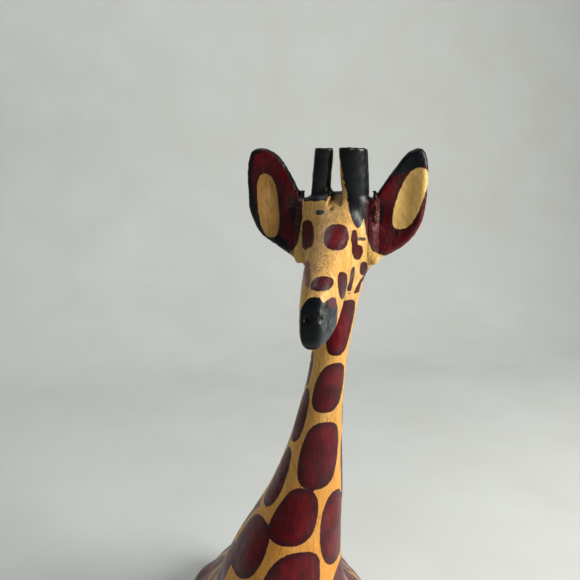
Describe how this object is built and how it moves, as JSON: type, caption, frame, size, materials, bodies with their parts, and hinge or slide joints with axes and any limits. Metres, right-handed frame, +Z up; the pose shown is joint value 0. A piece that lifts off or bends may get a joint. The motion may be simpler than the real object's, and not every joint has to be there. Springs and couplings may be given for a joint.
{
  "type": "carved wooden giraffe statue",
  "caption": "Resting giraffe carved from one block, with a tall flaring neck, turned head, split horns, and pegged and glued ears and tail.",
  "frame": {"origin": "on the table, in the middle of the flat underside of the body", "axes": "+Z up, +X to the animal's left, -Y where its chest points"},
  "size_m": [0.0676, 0.1119, 0.1773],
  "materials": {
    "painted_wood": "golden bare wood with wine-red brushed spots, black muzzle, horns and hooves, under clear lacquer",
    "ear_wood": "wine-red paint round a bare golden patch, black edge, lacquered",
    "peg_wood": "bare split wood",
    "glue_filler": "dried glue and sawdust, rough and matte",
    "tail_wood": "wine-red paint with a black tuft, lacquered"
  },
  "bodies": {
    "root": {"carving": "painted_wood", "left_ear": "ear_wood", "right_ear": "ear_wood", "left_ear_peg": "peg_wood", "right_ear_peg": "peg_wood", "left_ear_filler": "glue_filler", "right_ear_filler": "glue_filler", "tail": "tail_wood", "tail_peg": "peg_wood"}
  },
  "joints": []
}
